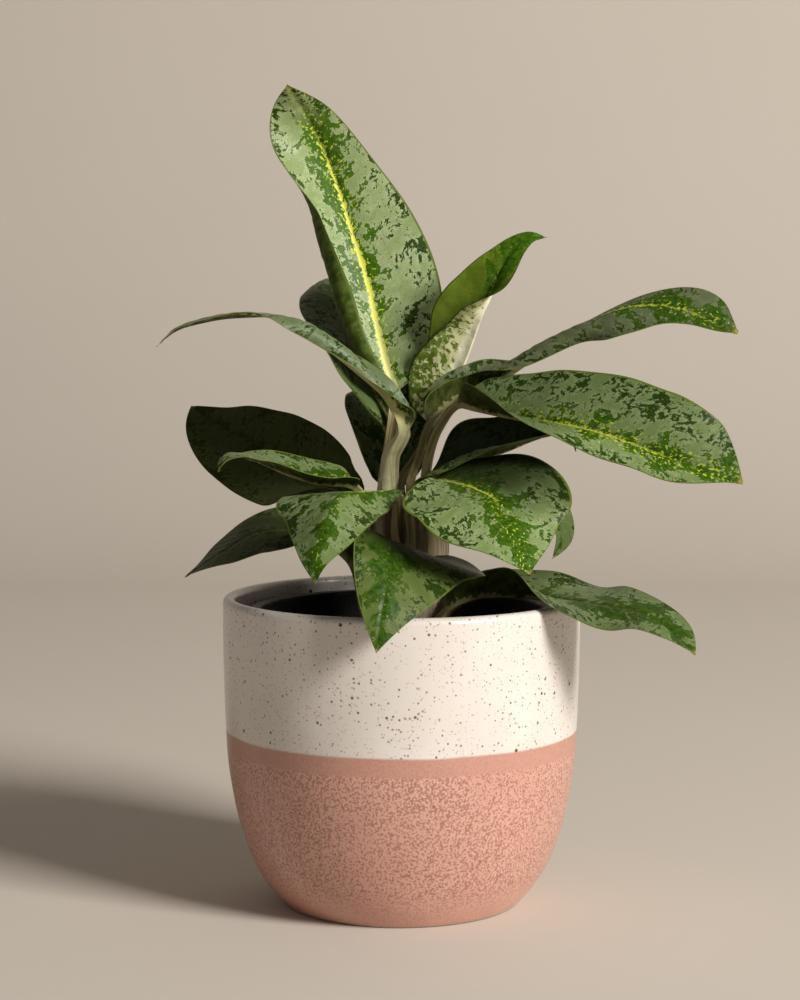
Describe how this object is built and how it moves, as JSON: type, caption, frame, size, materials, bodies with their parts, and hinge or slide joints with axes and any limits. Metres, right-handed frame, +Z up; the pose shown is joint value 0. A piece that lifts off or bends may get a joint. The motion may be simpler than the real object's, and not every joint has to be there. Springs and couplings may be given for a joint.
{
  "type": "potted chinese evergreen",
  "caption": "Potted chinese evergreen with long mottled leaves on short canes, in a black nursery pot that stands inside a rounded, speckled, two-tone glazed cover pot.",
  "frame": {"origin": "centre of the cover pot's flat underside", "axes": "+Z up along the pot's axis, -Y the side that the picture shows, +X to the right in it"},
  "size_m": [0.2215, 0.1991, 0.3198],
  "materials": {
    "speckled_glaze": "gloss",
    "black_plastic": "satin",
    "potting_mix": "matte",
    "cane": "satin",
    "leaf": "satin"
  },
  "bodies": {
    "root": {"cover_pot": "speckled_glaze", "nursery_pot": "black_plastic", "soil": "potting_mix", "left_cane": "cane", "right_cane": "cane", "leaf_tall": "leaf", "leaf_rolled": "leaf", "leaf_left_ribbon": "leaf", "leaf_back_left": "leaf", "leaf_back_low": "leaf", "leaf_left_broad": "leaf", "leaf_left_small": "leaf", "leaf_front_left": "leaf", "leaf_low_left": "leaf", "leaf_front_low": "leaf", "leaf_front_right": "leaf", "leaf_right_under": "leaf", "leaf_right_broad": "leaf", "leaf_right_high": "leaf", "leaf_right_back": "leaf", "leaf_right_low": "leaf"}
  },
  "joints": []
}
